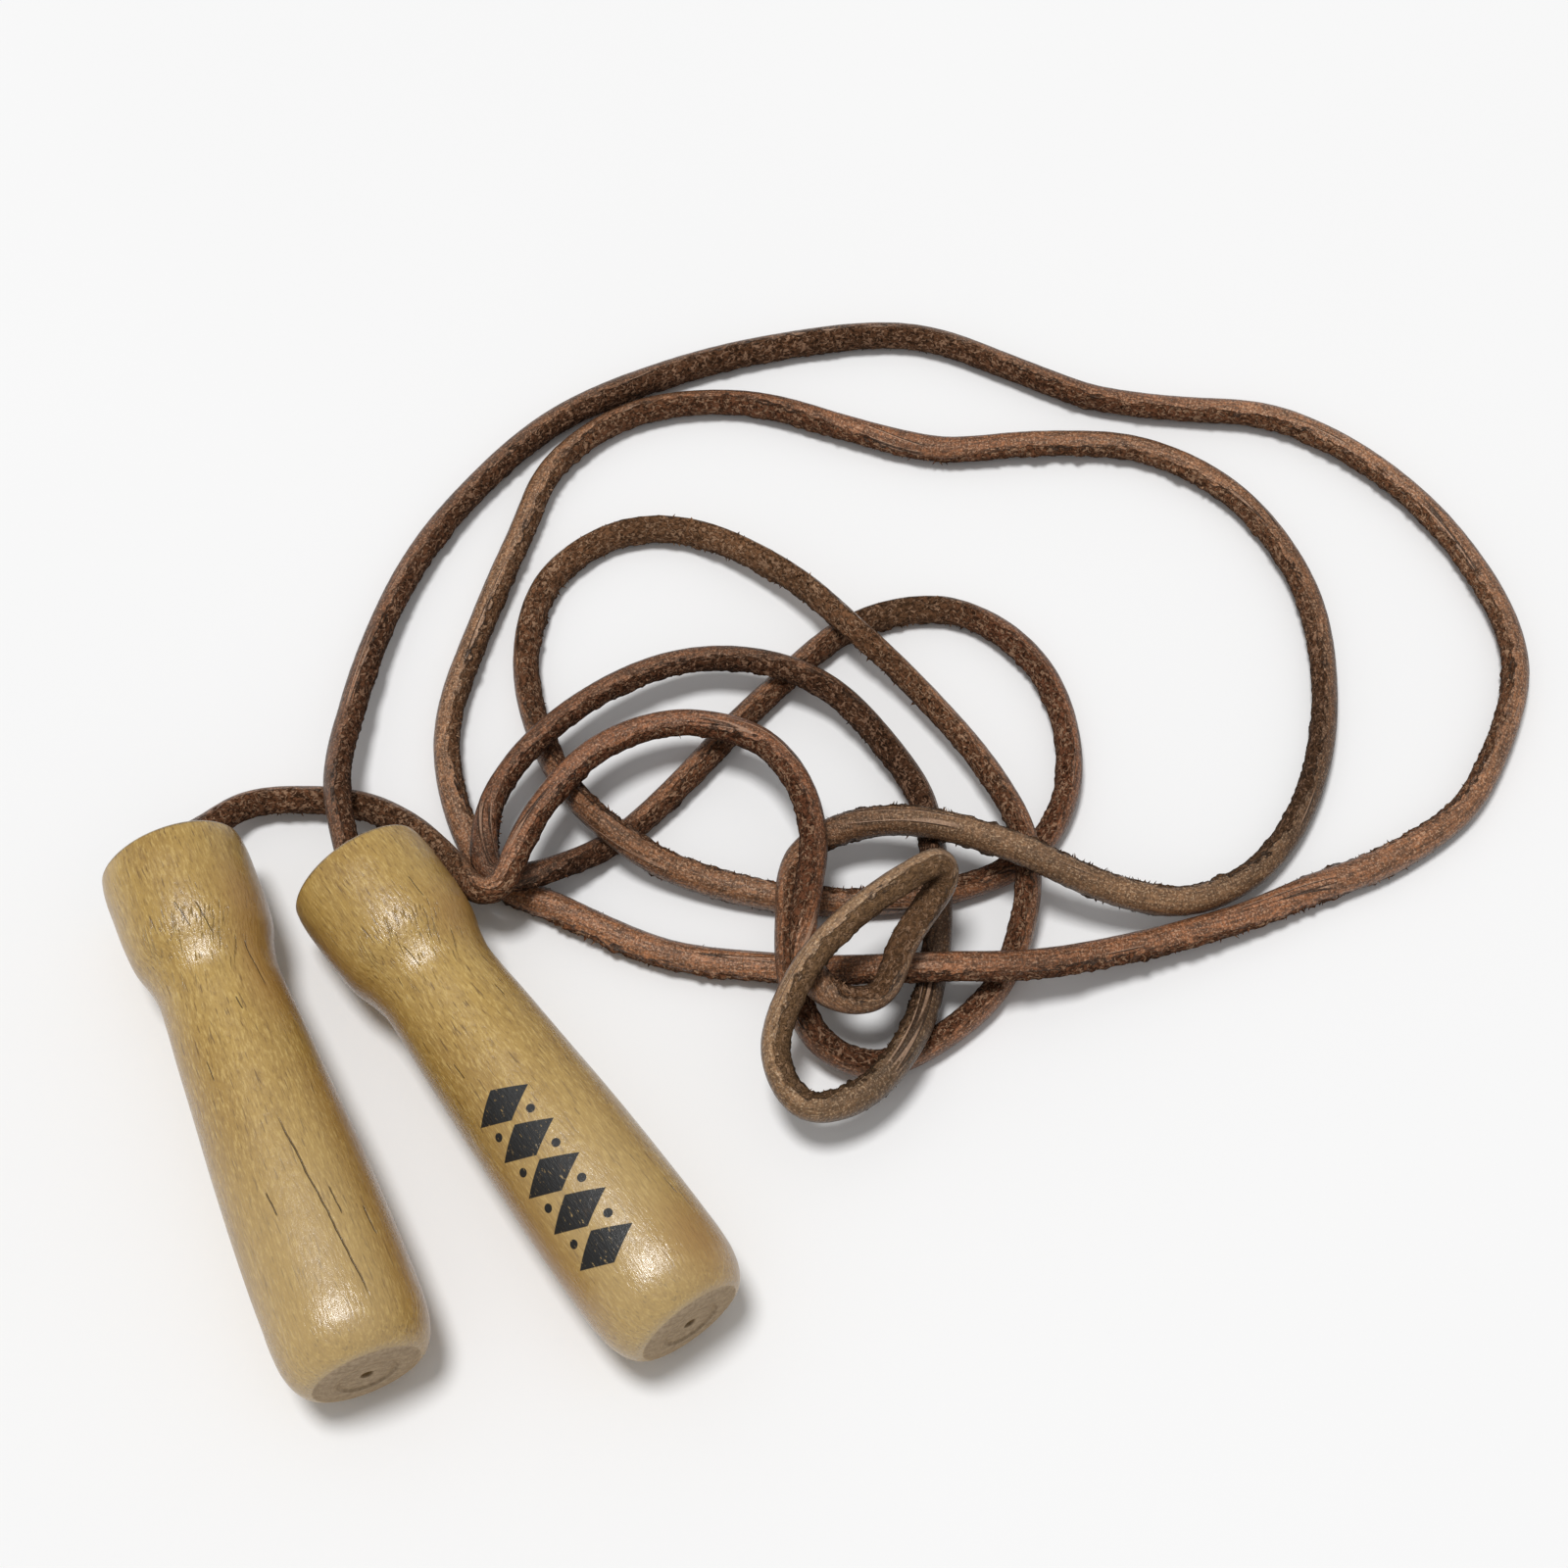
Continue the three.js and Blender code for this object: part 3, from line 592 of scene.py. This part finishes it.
def welded(node):
    """The points of a CAD node with doubles merged, and the edges between them."""
    mesh = frame["nodes"][node].data
    points = np.array([vertex.co[:] for vertex in mesh.vertices])
    edges = np.array([edge.vertices[:] for edge in mesh.edges])
    kept, edges = merged(points, edges, 0.005 * MM)
    return points[kept], edges


def neighbours(count, edges):
    """For each of count points, the points that its edges lead to."""
    found = [[] for _ in range(count)]
    for a, b in edges:
        found[a].append(b)
        found[b].append(a)
    return found


def ring_middles(node, near):
    """Middles of the full rings of a CAD cord node, from its end nearest to a point."""
    points, edges = welded(node)
    beside = neighbours(len(points), edges)
    most = max(len(found) for found in beside)
    tips = [i for i, found in enumerate(beside) if len(found) == most]
    start = min(tips, key=lambda i: (Vector(points[i]) - near).length)
    seen = {start}
    level = [start]
    middles = []
    while level:
        level = sorted({j for i in level for j in beside[i]} - seen)
        seen.update(level)
        if len(level) > 1:
            ring = points[level]
            middle = ring.mean(axis=0)
            if np.linalg.norm(ring - middle, axis=1).mean() > FULL_RING * CORD_RADIUS:
                middles.append(middle)
    return np.array(middles)


def joint(name):
    """Place and direction of a joint's axis."""
    found = next(j for j in frame["joints"] if j["name"] == name)
    return Vector(found["pos_m"]), Vector(found["axis"]).normalized()


def lathe_frame(side):
    """The handle's own frame: x to the right and y up seen from the head, z to the butt."""
    face, axis = joint(f"{side}_spin")
    across = Vector((0, 0, 1)).cross(axis).normalized()
    up = axis.cross(across)
    turn = Matrix((across, up, axis)).transposed()
    return Matrix.Translation(face) @ turn.to_4x4()


def outline_of(node, place):
    """Outline of a turned CAD node as ordered [radius, z] points, and whether it is a ring."""
    points, edges = welded(node)
    local = np.array([place.inverted() @ Vector(p) for p in points])
    flat = np.column_stack([np.hypot(local[:, 0], local[:, 1]), local[:, 2]])
    kept, edges = merged(flat, edges, 0.02 * MM)
    beside = neighbours(len(kept), edges)
    ends = [i for i, found in enumerate(beside) if len(found) == 1]
    closed = not ends
    order = [0 if closed else min(ends, key=lambda i: flat[kept[i], 1])]
    while onward := [j for j in beside[order[-1]] if j not in order]:
        order.append(onward[0])
    return flat[kept][order], closed


# ---- mesh helpers

def add_object(name, data):
    made = bpy.data.objects.new(name, data)
    bpy.context.scene.collection.objects.link(made)
    return made


def mesh_piece(name, points, faces, material):
    mesh = bpy.data.meshes.new(name)
    mesh.from_pydata([tuple(p) for p in points], [], faces)
    mesh.validate()
    mesh.shade_smooth()
    mesh.materials.append(material)
    piece = add_object(name, mesh)
    return piece


def put(piece, name, values):
    """Stores a number or a vector for each point of a piece."""
    values = np.asarray(values, np.float32)
    kind, key = ("FLOAT_VECTOR", "vector") if values.ndim == 2 else ("FLOAT", "value")
    attribute = piece.data.attributes.new(name, kind, "POINT")
    attribute.data.foreach_set(key, values.ravel())


def ruffle(point, size, height=1.0):
    """Smooth noise between about -height and height with features of the given size."""
    return height * noise.noise(Vector(point) / size)


def cubic(t, start, finish, enter, leave):
    """The point at t, from 0 to 1, of a curve that sets out along enter and ends along leave."""
    return ((2 * t**3 - 3 * t**2 + 1) * start + (t**3 - 2 * t**2 + t) * enter
            + (3 * t**2 - 2 * t**3) * finish + (t**3 - t**2) * leave)


def band_faces(rings, sides):
    """Faces between rings of points that follow each other; a ring can be a single point."""
    faces = []
    for one, two in zip(rings[:-1], rings[1:]):
        for side in range(sides):
            corners = ((one, side), (one, side + 1), (two, side + 1), (two, side))
            faces.append(tuple(dict.fromkeys(ring[k % len(ring)] for ring, k in corners)))
    return faces


def gaps_of(points):
    return np.linalg.norm(np.diff(points, axis=0), axis=1)


# ---- the cord

def smooth_path(points, step):
    """Points evenly spaced along a smooth curve through the given ones."""
    knots = np.concatenate([[0], np.cumsum(np.sqrt(gaps_of(points)))])
    fine = np.concatenate([
        np.linspace(a, b, PATH_SAMPLES, endpoint=False) for a, b in zip(knots[:-1], knots[1:])
    ] + [[knots[-1]]])
    slopes = np.gradient(points, knots, axis=0)
    span = np.clip(np.searchsorted(knots, fine, "right") - 1, 0, len(knots) - 2)
    width = (knots[span + 1] - knots[span])[:, None]
    t = ((fine - knots[span]) / width[:, 0])[:, None]
    curve = cubic(t, points[span], points[span + 1], width * slopes[span],
                  width * slopes[span + 1])
    length = np.concatenate([[0], np.cumsum(gaps_of(curve))])
    even = np.linspace(0, length[-1], int(length[-1] / step) + 1)
    path = np.column_stack([np.interp(even, length, curve[:, k]) for k in range(3)])
    reach = int(3 * PATH_EASE / step)
    weight = np.exp(-0.5 * (np.arange(-reach, reach + 1) * step / PATH_EASE) ** 2)
    weight /= weight.sum()
    padded = np.concatenate([
        2 * path[0] - path[reach:0:-1], path, 2 * path[-1] - path[-2:-reach - 2:-1]])
    return np.column_stack([np.convolve(padded[:, k], weight, "valid") for k in range(3)])


def cord_path():
    """The cord's middle line from the right handle to the left one, and its two bends."""
    right_bend, _ = joint("right_lift")
    left_bend, _ = joint("left_lift")
    right_face, right_axis = joint("right_spin")
    inside_right = right_face + right_axis * 24 * MM
    middles = np.concatenate([
        ring_middles("cord_end_right", inside_right),
        ring_middles("cord", right_bend),
        ring_middles("cord_end_left", left_bend),
    ])
    keep = np.concatenate([[True], gaps_of(middles) > DOUBLED_GAP])
    return smooth_path(middles[keep], RING_STEP), right_bend, left_bend


class Cord:
    """Rings of points all along the cord, with what the leather needs to know at each point."""

    def __init__(self):
        self.path, self.right_bend, self.left_bend = cord_path()
        count = len(self.path)
        along = np.arange(count) * RING_STEP / MM
        heading = np.gradient(self.path, axis=0)
        self.heading = heading / np.linalg.norm(heading, axis=1)[:, None]
        left = np.cross(TO_CAMERA, self.heading)
        self.left = left / np.linalg.norm(left, axis=1)[:, None]
        self.front = np.cross(self.heading, self.left)
        keys = np.array(LAY)
        ease = np.hanning(2 * int(TURN_EASE / RING_STEP) + 3)
        ease /= ease.sum()
        self.tilt, self.wear, self.gain, self.tan = (
            self.eased(np.interp(along, keys[:, 0], keys[:, k]), ease) for k in (1, 2, 3, 4))
        self.turn = np.radians(np.concatenate([
            np.linspace(-EDGE_ANGLE, EDGE_ANGLE, GRAIN_SIDES, endpoint=False),
            np.linspace(EDGE_ANGLE, 360 - EDGE_ANGLE, FLESH_SIDES, endpoint=False)]))
        self.rings = np.zeros((count, CORD_SIDES, 3))
        self.lay = np.zeros((count, CORD_SIDES, 3))
        for ring in range(count):
            self.shape_ring(ring)

    @staticmethod
    def eased(values, weight):
        reach = len(weight) // 2
        return np.convolve(np.pad(values, reach, "edge"), weight, "valid")

    def outward(self, ring, angle):
        """Direction out of the cord at an angle from the middle of its grain side."""
        lean = math.radians(self.tilt[ring]) + angle
        return self.front[ring] * math.cos(lean) + self.left[ring] * math.sin(lean)

    def shape_ring(self, ring):
        along = ring * RING_STEP
        swell = ruffle((along, 0.0, 0.0), 23 * MM, height=0.13 * MM) + self.gain[ring] * MM
        for side, angle in enumerate(self.turn):
            round_y = CORD_RADIUS * math.cos(angle)
            round_z = CORD_RADIUS * math.sin(angle)
            from_grain = abs((math.degrees(angle) + 180) % 360 - 180)
            radius = CORD_RADIUS + swell + self.section(from_grain)
            if from_grain > EDGE_ANGLE - 1:
                radius += self.flesh_relief(along, round_y, round_z, from_grain)
            else:
                radius += ruffle((along, 3 * round_y, 3 * round_z), 2.5 * MM, height=0.05 * MM)
            point = self.path[ring] + self.outward(ring, angle) * radius
            point[2] = max(point[2], FLOOR_LEVEL)
            self.rings[ring, side] = point
            self.lay[ring, side] = (along, round_y, round_z)

    @staticmethod
    def section(from_grain):
        """How far the section is from round: it is fullest at its edges and flatter on the
        flesh side."""
        edge = math.exp(-((from_grain - EDGE_ANGLE) / EDGE_BREADTH) ** 2)
        flat = max(0.0, math.cos(math.radians(180 - from_grain)))
        return EDGE_FULLNESS * edge - FLESH_FLATNESS * flat ** 2

    @staticmethod
    def flesh_relief(along, round_y, round_z, from_grain):
        """Unevenness of the flesh side, with ragged fibre beside its edges."""
        edge_band, edge_rise, ragged_height = 50, 12, 0.6 * MM
        spot = (along, round_y, round_z)
        relief = (ruffle(spot, 1.9 * MM, height=0.16 * MM)
                  + ruffle(spot, 5.5 * MM, height=0.10 * MM))
        beside = 1.0 if from_grain < EDGE_ANGLE + edge_band else 0.55
        beside *= min(1.0, (from_grain - EDGE_ANGLE + 1) / edge_rise)
        patch = max(0.0, 0.70 + ruffle((along, 0.03, round_z), 9 * MM, height=0.9))
        clump = max(0.0, ruffle((along, round_y, round_z + 0.2), 2.3 * MM))
        spike = max(0.0, ruffle((along, round_y, round_z + 0.1), 1.25 * MM) - 0.02)
        ragged = 0.9 * min(1.0, 2.0 * clump) + 0.8 * min(1.0, 2.4 * spike)
        return relief + beside * patch * ragged_height * ragged

    def nearest(self, point):
        """The ring nearest to a point."""
        return int(np.linalg.norm(self.path - np.array(point), axis=1).argmin())

    def piece(self, name, first, last, material):
        """One closed stretch of the cord, with loose tufts along the edges of its flesh side."""
        points = self.rings[first:last + 1].reshape(-1, 3).tolist()
        lay = self.lay[first:last + 1].reshape(-1, 3).tolist()
        at_ring = list(np.repeat(np.arange(first, last + 1), CORD_SIDES))
        rings = [range(k, k + CORD_SIDES) for k in range(0, len(points), CORD_SIDES)]
        rings = [[len(points)], *rings, [len(points) + 1]]
        for ring, inward in ((first, 1), (last, -1)):
            points.append(self.path[ring] + inward * self.heading[ring] * CAP_DEPTH)
            lay.append((ring * RING_STEP, -CORD_RADIUS, 0.0))
            at_ring.append(ring)
        faces = band_faces(rings, CORD_SIDES)

        clear = int(TUFT_CLEAR / RING_STEP)
        tuft_rings = range(max(first + TUFT_MARGIN, clear),
                           min(last - TUFT_MARGIN, len(self.path) - 1 - clear))
        rng = random.Random(TUFT_SEEDS[name])
        self.add_tufts(points, lay, at_ring, faces, tuft_rings, rng)
        made = mesh_piece(name, points, faces, material)
        put(made, "lay", lay)
        put(made, "wear", self.wear[at_ring])
        put(made, "tan", self.tan[at_ring])
        sharpen_borders(made, (0, (last - first) * CORD_SIDES))
        return made

    def add_tufts(self, points, lay, at_ring, faces, tuft_rings, rng):
        """Small leaning spikes of fibre that stand out beside the edges of the flesh side."""
        for ring in tuft_rings:
            for way in (-1, 1):
                spot = (ring * RING_STEP, 0.05, way * 0.01)
                patch = 0.5 + ruffle(spot, 11 * MM, height=0.9)
                if rng.random() > TUFT_SHARE * (0.35 + 1.3 * patch):
                    continue
                angle = way * math.radians(EDGE_ANGLE + rng.uniform(0, TUFT_SPREAD))
                height = rng.uniform(*TUFT_HEIGHTS) * MM * (0.6 + 0.6 * max(0.0, patch))
                width = rng.uniform(*TUFT_WIDTHS) * MM
                out = self.outward(ring, angle)
                ahead = self.heading[ring]
                round_way = np.cross(ahead, out)
                foot = self.path[ring] + out * (CORD_RADIUS - TUFT_ROOT)
                lean = ahead * rng.uniform(-1.0, 1.0) + round_way * rng.uniform(-0.6, 0.6)
                tip = foot + out * (TUFT_ROOT + height) + lean * height
                tip[2] = max(tip[2], FLOOR_LEVEL)
                base = len(points)
                for turn in TUFT_CORNERS:
                    corner = ahead * math.cos(turn) + round_way * math.sin(turn)
                    points.append(foot + width * corner)
                points.append(tip)
                lay.extend([(ring * RING_STEP, CORD_RADIUS * math.cos(angle),
                             CORD_RADIUS * math.sin(angle))] * 4)
                at_ring.extend([ring] * 4)
                faces.append((base, base + 2, base + 1))
                for a, b in ((0, 1), (1, 2), (2, 0)):
                    faces.append((base + a, base + b, base + 3))


def sharpen_borders(piece, starts):
    """Keeps the closing faces of a stretch of cord from bending the shading at its borders."""
    sharp = [any(start <= min(edge.vertices) and max(edge.vertices) < start + CORD_SIDES
                 for start in starts) for edge in piece.data.edges]
    attribute = piece.data.attributes.new("sharp_edge", "BOOLEAN", "EDGE")
    attribute.data.foreach_set("value", sharp)


def build_cord():
    cord = Cord()
    material = leather()
    right_border = cord.nearest(cord.right_bend) + int(FLARE / RING_STEP)
    left_border = cord.nearest(cord.left_bend) - int(FLARE / RING_STEP)
    coil = cord.piece("cord_coil", right_border, left_border, material)
    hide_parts("cord")
    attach(coil, "coil")
    ends = {
        "right": (cord.right_bend, 0, right_border),
        "left": (cord.left_bend, left_border, len(cord.path) - 1),
    }
    for side, (bend, first, last) in ends.items():
        piece = cord.piece(f"cord_{side}", first, last, material)
        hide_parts(f"cord_end_{side}")
        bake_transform(piece)


# ---- turned pieces

def eased_outline(outline, closed, edge):
    """A smooth curve through an outline's points, with its sharp corners rounded by edge."""
    count = len(outline)
    last = count if closed else count - 1
    ways = [outline[(i + 1) % count] - outline[i] for i in range(last)]
    gaps = [np.linalg.norm(way) for way in ways]

    def around(i):
        return ways[i - 1] / gaps[i - 1], ways[i % count] / gaps[i % count]

    def is_end(i):
        return not closed and i in (0, count - 1)

    def is_sharp(i):
        if is_end(i):
            return True
        one, two = around(i)
        return math.degrees(math.acos(np.clip(one @ two, -1, 1))) > SHARP_CORNER

    def slope(i, way):
        if is_sharp(i):
            return way
        one, two = around(i)
        slant = one * gaps[i % count] + two * gaps[i - 1]
        return slant / np.linalg.norm(slant)

    made = []
    for i in range(last):
        way = ways[i] / gaps[i]
        after = (i + 1) % count
        cut = min(edge, 0.4 * gaps[i])
        start = outline[i] + way * (cut if is_sharp(i) and not is_end(i) else 0)
        finish = outline[after] - way * (cut if is_sharp(after) and not is_end(after) else 0)
        if made and is_sharp(i):
            corner = made[-1]
            for t in (0.25, 0.5, 0.75):
                made.append((1 - t)**2 * corner + 2 * t * (1 - t) * outline[i] + t**2 * start)
        size = np.linalg.norm(finish - start)
        enter, leave = slope(i, way) * size, slope(after, way) * size
        made.extend(cubic(t, start, finish, enter, leave)
                    for t in np.linspace(0, 1, OUTLINE_SAMPLES))
    return np.array(made)


def spaced_outline(outline, closed, step):
    """The outline with no doubled points, and its long stretches divided."""
    ends = np.concatenate([outline, outline[:1]]) if closed else outline
    made = [ends[0]]
    for point in ends[1:]:
        gap = np.linalg.norm(point - made[-1])
        if gap < 0.01 * MM:
            continue
        pieces = max(1, math.ceil(gap / step))
        start = made[-1]
        made.extend(start + (point - start) * k / pieces for k in range(1, pieces + 1))
    if closed:
        made.pop()
    return np.array(made)


def turned_piece(name, outline, closed, sides, place, material, relief=None):
    """A body of revolution in a handle's own frame; relief moves its points outwards."""
    local, rings = [], []
    for radius, z in outline:
        if radius < 0.01 * MM:
            rings.append([len(local)])
            local.append((0.0, 0.0, z))
            continue
        rings.append(list(range(len(local), len(local) + sides)))
        for side in range(sides):
            angle = 2 * math.pi * side / sides
            out = radius + (relief(z, radius, angle) if relief else 0.0)
            local.append((out * math.sin(angle), out * math.cos(angle), z))
    if closed:
        rings.append(rings[0])
    faces = band_faces(rings, sides)
    piece = mesh_piece(name, [place @ Vector(p) for p in local], faces, material)
    face_outwards(piece)
    put(piece, "turned", local)
    return piece, np.array(local)


def face_outwards(piece):
    """Turns the faces of a closed piece so that they point out of it."""
    mesh = piece.data
    mesh.calc_loop_triangles()
    corners = np.array([[mesh.vertices[i].co[:] for i in t.vertices]
                        for t in mesh.loop_triangles])
    volume = np.einsum("ij,ij->", corners[:, 0], np.cross(corners[:, 1], corners[:, 2]))
    if volume < 0:
        mesh.flip_normals()


def handle_relief(side, length):
    """Slight unevenness of worn turned wood, with dents, as a distance outwards."""
    rng = random.Random(f"{side} dents")
    dents = [(rng.uniform(0.004, length - 0.006), rng.uniform(-2.4, 2.4),
              rng.uniform(*DENT_SIZES) * MM, rng.uniform(*DENT_DEPTHS) * MM)
             for _ in range(DENT_COUNT)]
    shift = 0.4 if side == "left" else 0.9
    mark_breadth, mark_depth = 0.4 * MM, 0.09 * MM

    def relief(z, radius, angle):
        if radius < RELIEF_RADIUS:
            return 0.0
        spot = (radius * math.sin(angle), radius * math.cos(angle), z * 0.35 + shift)
        out = (ruffle(spot, 9 * MM, height=0.045 * MM)
               + ruffle(spot, 2.2 * MM, height=0.012 * MM))
        way = (angle + math.pi) % (2 * math.pi) - math.pi
        for dent_z, dent_way, size, depth in dents:
            off = math.hypot((z - dent_z) / 1.8, radius * (way - dent_way))
            if off < 2.5 * size:
                out -= depth * math.exp(-(off / size) ** 2)
        for start, finish, from_angle, to_angle, _ in HANDLE_MARKS[side]:
            t = (z / MM - start) / (finish - start)
            if 0 < t < 1:
                centre = math.radians(from_angle + (to_angle - from_angle) * t)
                off = radius * (way - centre) / mark_breadth
                out -= mark_depth * math.exp(-off * off) * min(1, 6 * t, 6 * (1 - t))
        return out

    return relief


def turned_outline(node, place, rounding, step):
    """The outline of a turned CAD node, smoothed and finely divided, and whether it is a ring."""
    outline, closed = outline_of(node, place)
    return spaced_outline(eased_outline(outline, closed, rounding), closed, step), closed


def with_butt_ring(outline, length, flat_edge):
    """The outline with a shallow groove in the flat of the butt."""
    ring = BUTT_RING_SHARE * flat_edge
    around, step, flat = 0.5 * MM, 0.25 * MM, length - 0.02 * MM
    on_flat = outline[:, 1] > flat
    extra = [(ring + k * step, length) for k in (1.6, 0.8, 0, -0.8, -1.6)]
    at = np.nonzero(on_flat & (outline[:, 0] < ring - around))[0][0]
    crowded = on_flat & (abs(outline[:, 0] - ring) < around)
    outline = np.concatenate([outline[:at][~crowded[:at]], extra, outline[at:]])
    on_flat = outline[:, 1] > flat
    groove = BUTT_RING_DEPTH * np.exp(-((outline[:, 0] - ring) / BUTT_RING_BREADTH) ** 2)
    outline[on_flat, 1] -= groove[on_flat]
    return outline


def build_handle(side, place):
    corners, _ = outline_of(f"{side}_handle", place)
    length = corners[:, 1].max()
    flat_edge = corners[np.isclose(corners[:, 1], length)][:, 0].max()
    outline, closed = turned_outline(f"{side}_handle", place, HANDLE_ROUNDING, HANDLE_STEP)
    outline = with_butt_ring(outline, length, flat_edge)

    material = wood(f"{side}_wood", HANDLE_MARKS[side], AMBER[side], side == "right")
    piece, local = turned_piece(f"{side}_grip", outline, closed, HANDLE_SIDES, place, material,
                                handle_relief(side, length))
    radius = np.hypot(local[:, 0], local[:, 1])
    way = np.degrees(np.arctan2(local[:, 0], local[:, 1]))
    at_butt = (local[:, 2] > length - 0.4 * MM) & (radius < flat_edge + 0.6 * MM)
    put(piece, "place", np.column_stack([local[:, 2], way, radius]))
    put(piece, "end_grain", at_butt)
    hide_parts(f"{side}_handle")
    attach(piece, f"{side}_grip")


def ball_piece(name, middle, radius, material):
    shape = bmesh.new()
    bmesh.ops.create_icosphere(shape, subdivisions=3, radius=radius,
                               matrix=Matrix.Translation(middle))
    shape.verts.index_update()
    points = [vertex.co[:] for vertex in shape.verts]
    faces = [[vertex.index for vertex in face.verts] for face in shape.faces]
    shape.free()
    ball = mesh_piece(name, points, faces, material)
    put(ball, "turned", points)
    return ball


def build_bearing(side, place, metals):
    rings = {
        "bearing_cup": ("grip", "bearing_steel"), "dust_cover": ("grip", "cover"),
        "bearing_cone": ("end", "bearing_steel"), "stop_washer": ("end", "bearing_steel"),
        "cord_ferrule": ("end", "bearing_steel"),
    }
    for name, (body, slot) in rings.items():
        outline, closed = turned_outline(f"{side}_{name}", place, METAL_ROUNDING, METAL_STEP)
        piece, _ = turned_piece(f"{side}_{name}_turned", outline, closed, METAL_SIDES, place,
                                metals[slot])
        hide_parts(f"{side}_{name}")
        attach(piece, f"{side}_{body}")
    for name in sorted(name for name in frame["nodes"] if name.startswith(f"{side}_ball_")):
        low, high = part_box(name)
        ball = ball_piece(f"{name}_ground", (low + high) / 2, (high.z - low.z) / 2,
                          metals["balls"])
        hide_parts(name)
        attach(ball, f"{side}_balls")


# ---- studio

def add_camera():
    data = bpy.data.cameras.new("camera")
    data.lens = CAMERA_LENS_MM
    data.sensor_width = SENSOR_MM
    camera = add_object("camera", data)
    aim = Matrix.Rotation(math.radians(90 - CAMERA_ELEVATION), 4, "X")
    roll = Matrix.Rotation(math.radians(CAMERA_ROLL), 4, "Z")
    spot = Matrix.Translation(CAMERA_TARGET + TO_CAMERA * CAMERA_DISTANCE)
    camera.matrix_world = spot @ aim @ roll
    bpy.context.scene.camera = camera


def add_floor():
    mesh = bpy.data.meshes.new("floor")
    corners = [(x * FLOOR_HALF, y * FLOOR_HALF, CAD_BOX[0].z - FLOOR_GAP)
               for x, y in ((-1, -1), (1, -1), (1, 1), (-1, 1))]
    mesh.from_pydata(corners, [], [(0, 1, 2, 3)])
    mesh.materials.append(pale_floor())
    add_object("floor", mesh)


def add_room():
    """An even white light from all round, brighter only where the camera sees it."""
    world = bpy.data.worlds.new("studio")
    world.use_nodes = True
    tree = world.node_tree
    background = tree.nodes["Background"]
    seen = tree.nodes.new("ShaderNodeLightPath")
    level = tree.nodes.new("ShaderNodeMapRange")
    level.inputs["To Min"].default_value = SKY_STRENGTH
    level.inputs["To Max"].default_value = BACKDROP
    tree.links.new(seen.outputs["Is Camera Ray"], level.inputs["Value"])
    tree.links.new(level.outputs["Result"], background.inputs["Strength"])
    background.inputs["Color"].default_value = (1.0, 1.0, 1.0, 1.0)
    bpy.context.scene.world = world


def add_key_light():
    data = bpy.data.lights.new("key", "SUN")
    data.angle = math.radians(KEY_SPREAD)
    data.energy = KEY_STRENGTH
    light = add_object("key", data)
    light.location = KEY_WAY
    light.rotation_euler = KEY_WAY.to_track_quat("Z", "Y").to_euler()


# ---- the whole rope

def main():
    build_cord()
    metals = {
        "bearing_steel": steel("bearing_steel", (0.46, 0.455, 0.44), roughness=0.3, tarnish=0.6),
        "cover": steel("cover_steel", (0.5, 0.485, 0.455), roughness=0.36, tarnish=0.8),
        "balls": steel("ball_steel", (0.6, 0.6, 0.6), roughness=0.14, tarnish=0.2),
    }
    for side in SIDES_OF_ROPE:
        place = lathe_frame(side)
        build_handle(side, place)
        build_bearing(side, place, metals)

    bpy.context.scene.view_settings.view_transform = "Standard"
    add_camera()
    add_floor()
    add_room()
    add_key_light()


main()
